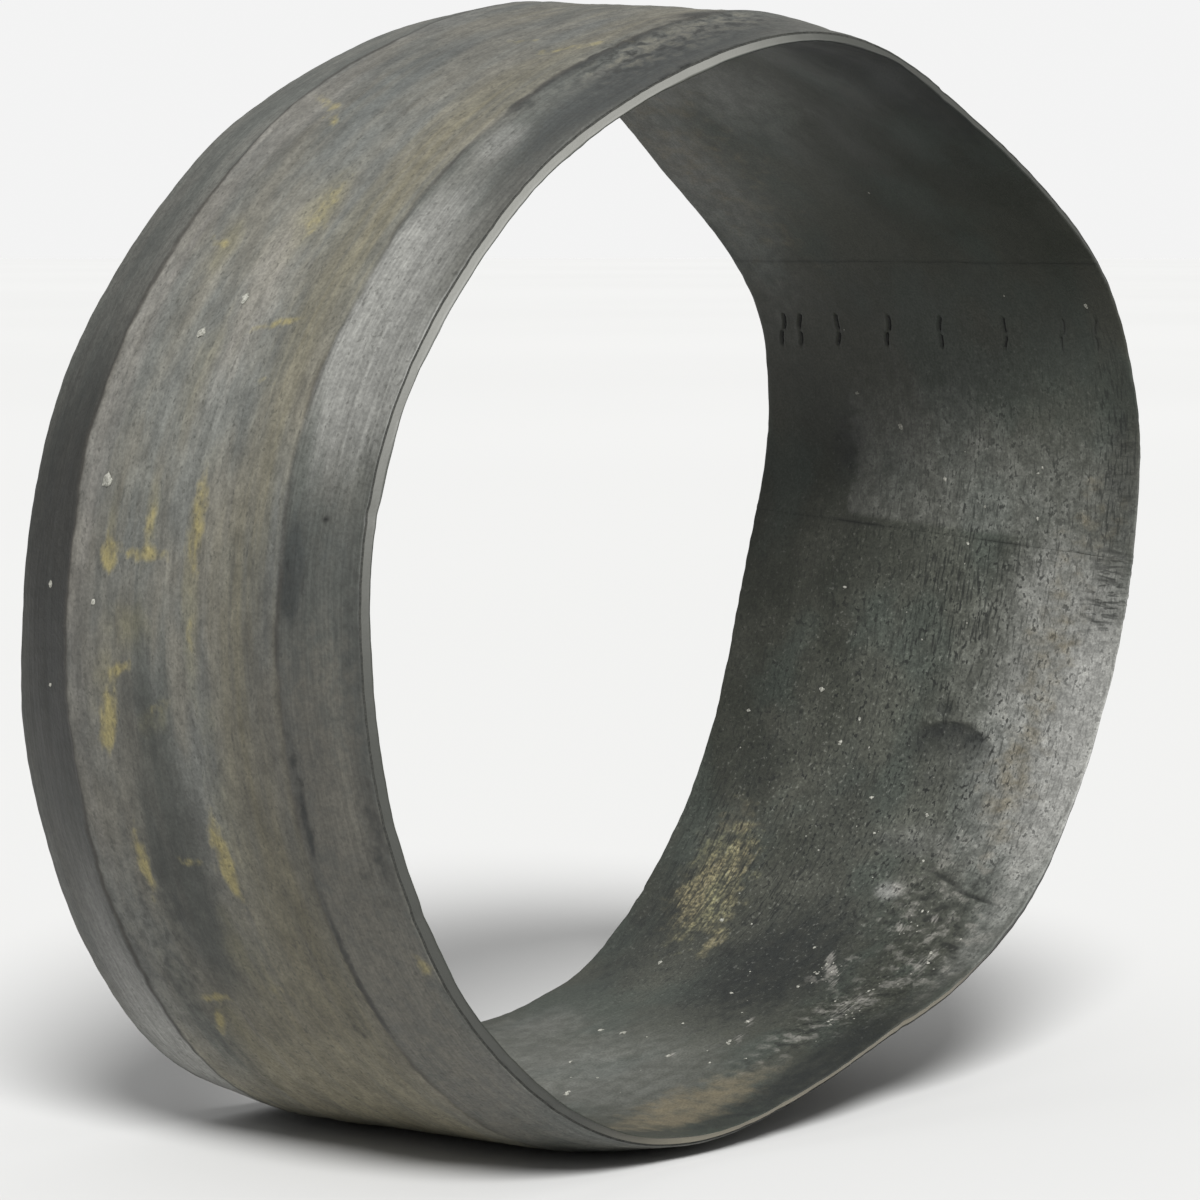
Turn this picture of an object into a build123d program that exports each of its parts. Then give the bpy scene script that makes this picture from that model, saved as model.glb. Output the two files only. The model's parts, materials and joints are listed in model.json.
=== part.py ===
"""Rubber sealing sleeve of a pipe repair clamp.

A ring built up from plies, with a raised band round its middle and a ground bevel at each end.
Its axis lies along Y, the origin is the centre of the bore, and +Z is up: it stands on its band,
which is pressed flat where it rests. Angles run from +X towards +Z, in degrees. Millimetres.
"""

from build123d import *
from math import cos, degrees, radians, sin, sqrt, tan
import os

# Driving dimensions
PIPE_DIAMETER = 219.1  # steel pipe that the sleeve goes round
PIPE_CLEARANCE = 0.45  # radial, so that the sleeve can be pushed along the pipe
WIDTH = 100.0  # end face to end face
BAND_WIDTH = 61.0  # raised band, between its two shoulders
LINER_THICKNESS = 1.6
TEXTILE_THICKNESS = 0.4
CORE_THICKNESS = 2.0
COVER_THICKNESS = 1.5
CORE_EDGE = 0.2  # what the bevel leaves of the core at each end face
FACE_LEAN = 30.0  # how far each end face leans back from square, in degrees
REST_WIDTH = 24.0  # flat on the band where the sleeve stands

SPLICE_START = 0.0  # lower edge of the splice strip, on the bore
SPLICE_END = 32.0  # upper edge of the splice strip, on the bore
SKIVE_LAP = 3.0  # how far each slanted edge of the strip laps the liner's end

STITCH_ANGLE = 23.0  # where the row of stitches runs
STITCH_LENGTH = 8.3
STITCH_SLANT = 16.0  # away from the way round the bore
THREAD_DIAMETER = 0.8
THREAD_DEPTH = 0.15  # bore surface to the top of the thread
LEG_END_GAP = 0.1  # strip left between a stitch's leg and the textile
# Hand-laid stitches, far end to near end, so they aren't evenly spaced
STITCH_PLACES = [43.2, 38.2, 27.4, 13.4, -1.3, -18.7, -34.0, -42.7]

# Radii of the build-up, from the bore out
BORE_R = PIPE_DIAMETER / 2 + PIPE_CLEARANCE
LINER_R = BORE_R + LINER_THICKNESS
TEXTILE_R = LINER_R + TEXTILE_THICKNESS
CORE_R = TEXTILE_R + CORE_THICKNESS
OUTER_R = CORE_R + COVER_THICKNESS

END = WIDTH / 2
SHOULDER = BAND_WIDTH / 2
CORE_EDGE_R = TEXTILE_R + CORE_EDGE


def face_y(radius):
    """How far from the middle each leaning end face lies, at a radius."""
    return END - (radius - BORE_R) * tan(radians(FACE_LEAN))


# Each bevel is one straight cut through the core and the cover
BEVEL_RUN = (face_y(CORE_EDGE_R) - SHOULDER) / (OUTER_R - CORE_EDGE_R)
COVER_EDGE = SHOULDER + (OUTER_R - CORE_R) * BEVEL_RUN
REST_Z = -sqrt(OUTER_R**2 - (REST_WIDTH / 2) ** 2)


def polar(radius, angle):
    """A point of the sleeve's cross-section, in the XZ plane."""
    return (radius * cos(radians(angle)), radius * sin(radians(angle)))


def stitch_plane(place):
    """A plane along one stitch's thread: X along the thread, Z straight out through the wall."""
    depth_r = BORE_R + THREAD_DEPTH + THREAD_DIAMETER / 2
    x, z = polar(depth_r, STITCH_ANGLE)
    out_x, out_z = polar(1, STITCH_ANGLE)
    round_x, round_z = polar(1, STITCH_ANGLE - 90)
    lean = radians(STITCH_SLANT)
    along = (round_x * cos(lean), sin(lean), round_z * cos(lean))
    return Plane(origin=(x, place, z), x_dir=along, z_dir=(out_x, 0, out_z))


# Splice stitches: thread staples that hold the strip down on the textile ply
leg_spacing = STITCH_LENGTH - THREAD_DIAMETER
leg_length = LINER_R - LEG_END_GAP - (BORE_R + THREAD_DEPTH + THREAD_DIAMETER / 2)
with BuildPart() as splice_stitches:
    for place in STITCH_PLACES:
        lying = stitch_plane(place)
        with BuildSketch(lying):
            SlotOverall(STITCH_LENGTH, THREAD_DIAMETER)
            with Locations((0, -THREAD_DIAMETER / 2)):
                Rectangle(STITCH_LENGTH, THREAD_DIAMETER, mode=Mode.SUBTRACT)
        revolve(axis=Axis(lying.origin, lying.x_dir))
        with BuildSketch(lying):
            with GridLocations(leg_spacing, 1, 2, 1):
                Circle(THREAD_DIAMETER / 2)
        extrude(amount=leg_length)
splice_stitches.part.label = "splice_stitches"

# Splice strip: thin rubber strip let into the liner, with slanted edges and a slot for each stitch
lap_angle = degrees(SKIVE_LAP / LINER_R)
with BuildPart() as splice_blank:
    with BuildSketch(Plane.XZ):
        with BuildLine():
            inner = ThreePointArc(
                polar(BORE_R, SPLICE_START),
                polar(BORE_R, (SPLICE_START + SPLICE_END) / 2),
                polar(BORE_R, SPLICE_END),
            )
            outer = ThreePointArc(
                polar(LINER_R, SPLICE_START + lap_angle),
                polar(LINER_R, (SPLICE_START + SPLICE_END) / 2),
                polar(LINER_R, SPLICE_END - lap_angle),
            )
            Line(inner @ 0, outer @ 0)
            Line(inner @ 1, outer @ 1)
        make_face()
    extrude(amount=END, both=True)
    with BuildSketch():
        with BuildLine():
            Polyline(
                (BORE_R - 1, face_y(BORE_R - 1)),
                (LINER_R + 1, face_y(LINER_R + 1)),
                (LINER_R + 1, END + 1),
                (BORE_R - 1, END + 1),
                close=True,
            )
        make_face()
        mirror(about=Plane.XZ)
    revolve(axis=Axis.Y, mode=Mode.SUBTRACT)

with BuildPart() as splice_strip:
    add(splice_blank.part)
    for place in STITCH_PLACES:
        with BuildSketch(stitch_plane(place)):
            SlotOverall(STITCH_LENGTH, THREAD_DIAMETER)
        extrude(amount=-THREAD_DIAMETER * 2, mode=Mode.SUBTRACT)
    add(splice_stitches.part, mode=Mode.SUBTRACT)
splice_strip.part.label = "splice_strip"

# Inner liner: smooth sheet rubber bent into a ring, open where the splice strip goes
with BuildPart() as inner_liner:
    with BuildSketch():
        with BuildLine():
            Polyline(
                (BORE_R, -END),
                (LINER_R, -face_y(LINER_R)),
                (LINER_R, face_y(LINER_R)),
                (BORE_R, END),
                close=True,
            )
        make_face()
    revolve(axis=Axis.Y)
    add(splice_blank.part, mode=Mode.SUBTRACT)
inner_liner.part.label = "inner_liner"

# Textile ply: thin woven ring between the liner and the core, seen as a dark line at the rims
with BuildPart() as textile_ply:
    with BuildSketch():
        with BuildLine():
            Polyline(
                (LINER_R, -face_y(LINER_R)),
                (TEXTILE_R, -face_y(TEXTILE_R)),
                (TEXTILE_R, face_y(TEXTILE_R)),
                (LINER_R, face_y(LINER_R)),
                close=True,
            )
        make_face()
    revolve(axis=Axis.Y)
textile_ply.part.label = "textile_ply"

# Wall core: the body of the wall, ground down to a thin edge at each end
with BuildPart() as wall_core:
    with BuildSketch():
        with BuildLine():
            Polyline(
                (TEXTILE_R, -face_y(TEXTILE_R)),
                (CORE_EDGE_R, -face_y(CORE_EDGE_R)),
                (CORE_R, -COVER_EDGE),
                (CORE_R, COVER_EDGE),
                (CORE_EDGE_R, face_y(CORE_EDGE_R)),
                (TEXTILE_R, face_y(TEXTILE_R)),
                close=True,
            )
        make_face()
    revolve(axis=Axis.Y)
wall_core.part.label = "wall_core"

# Outer cover: the band's weathered skin, ground away at its edges and flat where it stands
with BuildPart() as outer_cover:
    with BuildSketch():
        with BuildLine():
            Polyline(
                (CORE_R, -COVER_EDGE),
                (OUTER_R, -SHOULDER),
                (OUTER_R, SHOULDER),
                (CORE_R, COVER_EDGE),
                close=True,
            )
        make_face()
    revolve(axis=Axis.Y)
    split(bisect_by=Plane.XY.offset(REST_Z), keep=Keep.TOP)
outer_cover.part.label = "outer_cover"

os.makedirs("parts", exist_ok=True)
for piece in (inner_liner, splice_strip, splice_stitches, textile_ply, wall_core, outer_cover):
    export_step(piece.part, f"parts/{piece.part.label}.step")
    print(f"{piece.part.label:16s} {piece.part.volume:10.1f} mm3  {len(piece.part.solids())} solids")
print(f"bore radius {BORE_R:.2f}, outer radius {OUTER_R:.2f}, rests at z {REST_Z:.3f}")
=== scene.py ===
"""Looks of the rubber sealing sleeve of a pipe repair clamp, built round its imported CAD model.

The sleeve lies along Y, near end towards -Y, and stands on its band. Angles run from +X towards +Z.
Sizes and places are in millimetres and degrees until a mesh is made, and then in metres and radians.
"""

import json
from math import ceil, cos, pi, radians, sin, sqrt, tau

import bmesh
import bpy
import numpy as np
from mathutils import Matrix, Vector


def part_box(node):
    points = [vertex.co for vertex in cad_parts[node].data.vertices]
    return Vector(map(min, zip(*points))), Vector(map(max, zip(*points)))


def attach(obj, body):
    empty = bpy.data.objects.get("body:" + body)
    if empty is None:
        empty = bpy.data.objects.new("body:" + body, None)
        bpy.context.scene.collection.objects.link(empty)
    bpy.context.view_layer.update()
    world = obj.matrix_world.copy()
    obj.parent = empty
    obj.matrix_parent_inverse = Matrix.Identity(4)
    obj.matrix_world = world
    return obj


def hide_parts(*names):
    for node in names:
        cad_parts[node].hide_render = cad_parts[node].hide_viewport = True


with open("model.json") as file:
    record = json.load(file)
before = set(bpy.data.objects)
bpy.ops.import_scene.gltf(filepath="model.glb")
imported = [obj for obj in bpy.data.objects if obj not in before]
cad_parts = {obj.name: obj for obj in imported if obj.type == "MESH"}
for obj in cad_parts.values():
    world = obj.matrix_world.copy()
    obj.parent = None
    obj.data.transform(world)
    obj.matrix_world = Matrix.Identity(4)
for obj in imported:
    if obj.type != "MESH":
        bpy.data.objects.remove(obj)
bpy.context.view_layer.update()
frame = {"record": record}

MM = 0.001
BODY = "root"

# Sizes, read from the frame
mounts = {mount["name"]: mount for mount in frame["record"]["mounts"]}
BORE_R = mounts["pipe_bore"]["dims"]["r_mm"]
WIDTH = mounts["pipe_bore"]["dims"]["length_mm"]
OUTER_R = mounts["clamp_seat"]["dims"]["r_mm"]
BAND_WIDTH = mounts["clamp_seat"]["dims"]["length_mm"]
REST_Z = mounts["rest_flat"]["pos_m"][2] / MM
LINER_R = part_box("inner_liner")[1].z / MM
TEXTILE_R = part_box("textile_ply")[1].z / MM
CORE_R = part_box("wall_core")[1].z / MM
COVER_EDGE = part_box("outer_cover")[1].y / MM
END = WIDTH / 2
SHOULDER = BAND_WIDTH / 2
BEVEL_SLOPE = (OUTER_R - CORE_R) / (COVER_EDGE - SHOULDER)
FACE_SLOPE = (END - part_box("textile_ply")[1].y / MM) / (LINER_R - BORE_R)
CORE_EDGE = 0.2  # what the bevel leaves of the core at each end face, as in the CAD model
CORE_EDGE_R = TEXTILE_R + CORE_EDGE


def face_y(radius):
    """How far from the middle the leaning end faces lie, at a radius."""
    return END - (radius - BORE_R) * FACE_SLOPE


# The splice, as in the CAD model: the strip starts at angle 0
SPLICE_END = 32.0
SKIVE_LAP = 3.0
STITCH_ANGLE = 23.0
STITCH_SLANT = 16.0
STITCH_LENGTH = 8.3
STITCH_PLACES = [43.2, 38.2, 27.4, 13.4, -1.3, -18.7, -34.0, -42.7]
# The splice, only here
SPLICE_SKEW = 0.035  # how the strip's lower edge strays from straight across, in degrees per mm
SKEW_MIDDLE = -21.5  # where along Y it doesn't stray
THREAD_R = 0.3  # a little thinner than in the CAD model
SLOT_DEPTH = 0.5  # of the slot that each stitch lies in
STITCH_GAP = 0.3  # where each stitch's two dashes meet, past its middle
STITCH_SHOWS = [1.0, 1.0, 1.0, 1.0, 1.0, 0.9, 0.7, 0.6]  # how far each stitch lies open, 0 to 1

# The free shape: the sleeve isn't stretched over a pipe, so it is out of round. Another program fitted
# these lobes, the drift below and the camera to the photo's outlines, and printed the numbers.
# Each row: lobes, swell at the near rim and its direction, swell at the far rim and its direction.
LOBES = [
    (2, 6.9, 22, 6.9, 48),
    (3, 1.4, 5, 0.8, -21),
    (4, 0.4, -24, 1.3, 36),
    (5, 1.8, 23, 2.8, 18),
    (6, 1.1, 19, 0.8, 11),
    (7, 0.3, 21, 1.0, -25),
    (8, 0.3, -14, 0.8, 22),
]
# Where the far rim is pulled in: direction, spread in degrees, depth
FAR_PINCHES = [
    (108, 19, 1.7),
    (173, 24, 0.9),
]
# How far the far rim's middle lies off the axis
FAR_DRIFT_X = -4.7
FAR_DRIFT_Z = 0.7
PRESSED_FLAT = 0.35  # how deep the band's lowest line is flattened by its own weight

# For unevenness that only changes round the sleeve: a wave's length across it, and places so far
# apart that the two sides still get waves of their own
WIDE = 1000
RIMS_APART = 500
SHOULDERS_APART = 300


def ripples(angle, y, round_length, across_length, seed, waves=16):
    """Seeded unevenness, about -1 to 1, that joins up all the way round; lengths of its waves in mm."""
    rng = np.random.default_rng(seed)
    total = 0.0
    for _ in range(waves):
        turns = round(rng.normal() * tau * OUTER_R / round_length)
        across = rng.normal() * tau / across_length
        total = total + np.cos(turns * angle + across * y + rng.uniform(0, tau))
    return total / sqrt(waves / 2)


def smooth(value, low, high):
    """0 below low, 1 above high, and a smooth step between."""
    t = np.clip((value - low) / (high - low), 0, 1)
    return t * t * (3 - 2 * t)


def past_direction(angle, direction):
    """How far an angle lies past a direction given in degrees, from half a turn before to half after."""
    return (angle - radians(direction) + pi) % tau - pi


def ovals(angle, y, marks):
    """How strongly each point is marked, 0 to 1.

    A mark is: angle, y, half length, half width, lean, strength. Its long axis lies round the sleeve,
    turned by its lean towards +Y.
    """
    clear = np.ones(np.broadcast(angle, y).shape)
    for at, middle_y, half_length, half_width, lean, strength in marks:
        round_way = past_direction(angle, at) * OUTER_R
        across = y - middle_y
        turned_cos, turned_sin = cos(radians(lean)), sin(radians(lean))
        along = (round_way * turned_cos + across * turned_sin) / half_length
        aside = (across * turned_cos - round_way * turned_sin) / half_width
        clear = clear * (1 - strength * np.exp(-((along**2 + aside**2) ** 1.5)))
    return 1 - clear


# ---- shape of the surfaces
def end_shift(angle, far_side):
    """How far each rim stands out or in along Y: cut by hand, so a little wavy, with small nicks."""
    side = np.where(far_side, 1.0, -1.0)
    rim = side * RIMS_APART
    long_waves = 0.22 * ripples(angle, rim, 70, WIDE, seed=11)
    short_waves = 0.05 * ripples(angle, rim, 9, WIDE, seed=12)
    nicks = 0.25 * smooth(ripples(angle, rim, 14, WIDE, seed=13), 1.6, 2.4)
    return side * (long_waves + short_waves - nicks)


def shape(angle, y, radius):
    """Where a point of the round sleeve lies on the free one. Arrays in, points in mm out."""
    far = (y + END) / WIDTH
    swell = 0.0
    for lobes, near, near_angle, beyond, far_angle in LOBES:
        swell = swell + (1 - far) * near * np.cos(lobes * (angle - radians(near_angle)))
        swell = swell + far * beyond * np.cos(lobes * (angle - radians(far_angle)))
    for at, spread, depth in FAR_PINCHES:
        off = past_direction(angle, at) / radians(spread)
        swell = swell - depth * np.clip(far, 0, 1) ** 2 * np.exp(-(off**2))
    x = (radius + swell) * np.cos(angle) + FAR_DRIFT_X * far
    z = (radius + swell) * np.sin(angle) + FAR_DRIFT_Z * far
    rim_reach = 8
    near_rim = smooth(np.abs(y), END - rim_reach, END)
    return np.stack([x, y + near_rim * end_shift(angle, y > 0), z], -1)


def shoulder_line(angle, y):
    """Distance of the shoulder from the middle of the band."""
    shoulder = np.sign(y) * SHOULDERS_APART
    long_waves = 0.3 * ripples(angle, shoulder, 45, WIDE, seed=21)
    short_waves = 0.12 * ripples(angle, shoulder, 8, WIDE, seed=22)
    return SHOULDER + long_waves + short_waves


def skin_radius(angle, y):
    """Radius of the outside: a flat band, a rounded shoulder and a ground bevel at each end."""
    softness = 0.3
    pit_depth = 0.5
    past = np.abs(y) - shoulder_line(angle, y)
    run = softness * np.logaddexp(0, past / softness)
    ground = smooth(past, -softness, 2 * softness)
    band = 0.10 * ripples(angle, y, 45, 24, seed=31)
    band = band + 0.035 * ripples(angle, y, 70, 5, seed=32)
    band = band + 0.03 * ripples(angle, y, 5, 3, seed=33, waves=24)
    lines = 0.02 * ripples(angle, y, 260, 1.3, seed=34, waves=24)
    lines = lines + 0.08 * ripples(angle, y, 50, 12, seed=35)
    pits = ovals(angle, y, PITS) * smooth(ripples(angle, y, 5, 4, seed=36, waves=24), 0.4, 1.6)
    off_rim = smooth(END - np.abs(y), 0, 3)
    relief = (1 - ground) * band + off_rim * (ground * lines - pit_depth * pits)
    return OUTER_R - BEVEL_SLOPE * run + relief


def crescent(angle, y):
    """A dent with one sharp, curved edge: deepest along the edge, and fading below it."""
    off = (y - CRESCENT_Y) / CRESCENT_REACH
    edge = CRESCENT_ANGLE - CRESCENT_SAG * off**2
    below = edge - np.degrees(past_direction(angle, 0))
    return smooth(below, 0, 0.5) * np.exp(-((below / CRESCENT_FADE) ** 2)) * np.exp(-(off**4))


def bore_radius(angle, y):
    """Radius of the bore, with its soft dents, wrinkles and creases."""
    waviness = 0.12 * ripples(angle, y, 38, 30, seed=41)
    roughness = 0.02 * ripples(angle, y, 4, 4, seed=42, waves=24)
    dents = 0.7 * ovals(angle, y, DENTS) + 0.5 * crescent(angle, y)
    wrinkles = 0.18 * ovals(angle, y, WRINKLES) * ripples(angle, y, 3.2, 16, seed=43, waves=24)
    creases = 0.45 * ovals(angle, y, CREASES)
    return BORE_R + waviness + roughness + dents + wrinkles + creases


# Marks in the surface of the outside, each as ovals() takes them
PITS = [
    (103, -35, 24, 5, 0, 0.9),
    (119, -32.5, 10, 2.2, 0, 0.9),
    (92, -30, 7, 3, 0, 1.0),
    (177, -35, 9, 4, 0, 0.6),
    (196, -32.5, 16, 1.3, 0, 0.9),
    (184, -30.5, 10, 1.0, 0, 0.7),
    (221, -23, 6, 5, 0, 0.4),
    (213, 24, 16, 6, 0, 0.3),
]
# Marks in the surface of the bore
DENTS = [
    (-20, -11, 2.5, 2.5, 0, 0.6),
    (8, 27, 9, 5, 0, 0.4),
]
WRINKLES = [
    (-4, -46, 12, 6, 0, 1.0),
    (10, -45, 14, 6, 0, 0.6),
]
CREASES = [
    (-43.6, -37, 6, 0.5, 78, 1.0),
    (-41.8, -28, 6, 0.5, 68, 0.8),
    (-8, -43, 4, 0.4, 70, 0.8),
    (-6, -44, 4, 0.4, 75, 0.8),
    (-3.5, -45, 4, 0.4, 80, 0.8),
]
# The dent with a sharp edge: the edge's highest point, half its length across the bore, and how many
# degrees it sags by there and the dent fades over
CRESCENT_ANGLE = -21.2
CRESCENT_Y = -14
CRESCENT_REACH = 11
CRESCENT_SAG = 2.2
CRESCENT_FADE = 5

# ---- stains, and painted light and shade
# Each name is a mask that a material reads, made of marks as ovals() takes them
OUTSIDE_STAINS_AND_PAINTED_LIGHT = {
    "warm": [
        (135, -22, 95, 9, 0, 0.75),
        (212, -20, 38, 11, 0, 0.9),
        (226, -4, 26, 16, 0, 0.8),
        (158, 4, 16, 4, 0, 0.5),
        (236, 0, 40, 40, 0, 0.8),
        (183, -18, 30, 8, 0, 0.5),
        (88, 0, 22, 30, 0, 0.3),
        (140, -4, 20, 6, 0, 0.5),
        (205, -40, 60, 12, 0, 0.7),
    ],
    "cool": [
        (118, 10, 26, 9, 0, 0.7),
        (108, -5, 13, 11, 0, 0.4),
        (131, -2, 16, 8, 0, 0.4),
        (163, -14, 13, 4, 0, 0.5),
        (171, 11, 12, 9, 0, 0.5),
        (185, 8, 20, 8, 0, 0.5),
        (226, 22, 15, 6, 0, 0.6),
        (110, -43, 44, 6, 0, 0.9),
        (174, -40, 16, 9, 0, 0.4),
        (176, -33.5, 10, 2.5, 0, 0.9),
    ],
    "mauve": [
        (150, 27, 120, 5, 0, 0.8),
        (122, 22, 22, 7, 0, 0.5),
        (148, -3, 30, 7, 0, 0.6),
    ],
    "soot": [
        (108, -32, 26, 2.2, 0, 0.75),
        (110, -31, 32, 0.8, 0, 0.9),
        (104, -48.6, 24, 0.9, 0, 0.7),
        (92, -29, 6, 4, 0, 0.9),
        (121, -32, 3, 4, 0, 0.7),
        (178, -33, 9, 3, 0, 0.6),
        (195, -32, 17, 1.8, 0, 0.7),
        (199, -32.2, 11, 0.8, 0, 0.65),
        (215, -30.9, 26, 0.9, 0, 0.85),
        (216, -25, 18, 1.0, -4, 0.6),
        (146, -28.6, 24, 0.7, 0, 0.6),
        (221, -23, 5, 4, 0, 0.5),
        (212, -22, 30, 1.2, -3, 0.5),
        (198, -47, 16, 4, 0, 0.6),
        (205, -44, 10, 6, 0, 0.5),
    ],
    # dark patches, and painted shade low on the -X side
    "dark": [
        (203, 5, 38, 9, 0, 0.75),
        (209, 7, 20, 10, 0, 0.85),
        (190, 10, 24, 7, 0, 0.5),
        (223, 20, 20, 8, 0, 0.6),
    ],
    # painted shade: darker on top, along the near rim and low on the -X side
    "dim": [
        (104, -44, 48, 8, 0, 0.9),
        (98, 8, 40, 34, 0, 0.45),
        (122, -47, 46, 5, 0, 0.8),
        (96, -38, 26, 14, 0, 0.5),
        (128, -42, 14, 4, 0, 0.4),
        (184, -48, 34, 4, 0, 0.7),
        (114, -20, 16, 8, 0, 0.3),
        (98, -27, 22, 4, 0, 0.4),
        (130, 17, 22, 9, 0, 0.35),
        (205, 14, 16, 11, 0, 0.45),
        (174, -36, 12, 8, 0, 0.2),
        (195, -25, 44, 12, 0, 0.6),
        (190, 22, 34, 10, 0, 0.45),
        (186, -34, 30, 8, 0, 0.4),
        (176, -33.5, 10, 2.5, 0, 0.6),
        (138, 42, 24, 7, 0, 0.3),
        (106, -45, 26, 8, 0, 0.5),
        (107, 22, 24, 8, 0, 0.3),
        (190, 12, 8, 6, 0, 0.35),
        (220, 12, 12, 6, 0, 0.35),
    ],
    # painted light: lighter low on the -X side and in places on the band and both bevels
    "lift": [
        (240, 0, 36, 60, 0, 0.7),
        (233, 30, 20, 14, 0, 0.6),
        (152, -33, 34, 6, 0, 0.3),
        (122, 34, 40, 6, 0, 0.3),
        (148, -3, 40, 9, 0, 0.4),
        (236, 38, 26, 13, 0, 0.9),
        (100, 36, 20, 12, 0, 0.5),
        (160, 6, 20, 12, 0, 0.25),
        (147, 28, 20, 3, 0, 0.3),
        (222, -40, 20, 12, 0, 0.25),
        (160, -18, 10, 5, 0, 0.3),
    ],
    "shade": [
        (180, 40, 62, 14, 0, 1.0),
        (180, 33, 50, 4, 0, 1.0),
    ],
    # painted sheen on the near bevel towards the top of the -X side, and painted light on the far bevel low
    # on the -X side
    "pale": [
        (150, -38, 36, 10, 0, 0.95),
        (127, -36, 9, 4, 0, 0.6),
        (158, -47, 18, 6, 0, 0.65),
        (234, 36, 20, 12, 0, 1.0),
        (223, 38, 36, 8, 0, 0.8),
    ],
    "grit": [
        (103, -37, 24, 7, 0, 1.0),
        (91, -35, 10, 8, 0, 0.9),
        (106, -35, 8, 4, 0, 0.7),
        (213, 20, 20, 9, 0, 0.4),
    ],
    "haze": [
        (179, -6.5, 22, 3.0, 0, 0.75),
        (172, 7, 10, 2.4, 0, 0.6),
        (172, 18, 8, 2.2, 0, 0.6),
        (182, 12, 5, 7, 0, 0.7),
        (191, 6, 6, 3, 60, 0.5),
        (198, -11, 20, 4, 0, 0.5),
        (138, -5, 13, 6, -10, 0.75),
        (142.5, 15, 8, 4, 0, 0.6),
        (156, 3, 12, 4, 0, 0.5),
        (214, -2, 12, 6, 0, 0.6),
        (224, 11, 12, 5, 0, 0.5),
        (188, 19, 8, 4, 0, 0.6),
    ],
    # painted shade of a small hole in the near bevel
    "hole": [(171.2, -40.2, 0.7, 0.7, 0, 1.0)],
    "wax": [
        (152.4, -12.8, 7, 1.0, 78, 0.75),
        (158.5, -16.5, 3, 0.8, 90, 0.25),
        (172.5, -6.5, 9, 2.0, 0, 0.9),
        (182.5, -6.5, 3.5, 1.6, 0, 0.4),
        (138, -6, 9, 3, -10, 0.45),
        (142.5, 16, 4.5, 1.2, -70, 0.5),
        (175.6, 8, 6, 1.6, 90, 0.8),
        (175.8, 18.5, 4, 2.6, 0, 0.95),
        (172.5, 7, 5, 1.6, 0, 0.5),
        (120, 21, 6, 1.4, -60, 0.5),
        (123.5, 14, 4, 1.3, -50, 0.5),
        (106, -22, 9, 2, 60, 0.35),
        (104.5, -5, 4, 1.3, 90, 0.5),
        (204, -7, 8.5, 2.4, -5, 1.0),
        (191.5, 18.5, 6, 2.3, 10, 1.0),
        (186.7, 15, 3.2, 1.4, 65, 0.9),
        (193.3, 20.5, 2.6, 2.4, 90, 0.8),
        (205.3, 17, 6.5, 1.6, 0, 0.9),
        (204.6, 2.5, 4, 0.9, 90, 0.6),
        (189.5, 3, 3.5, 1.1, 60, 0.4),
        (220, 12, 4, 1.0, 80, 0.7),
        (223, 15.5, 4.6, 1.4, 35, 0.8),
        (218, -6, 5, 1.1, 90, 0.4),
        (213.5, -47, 3, 1.6, 0, 0.4),
    ],
}
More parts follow.
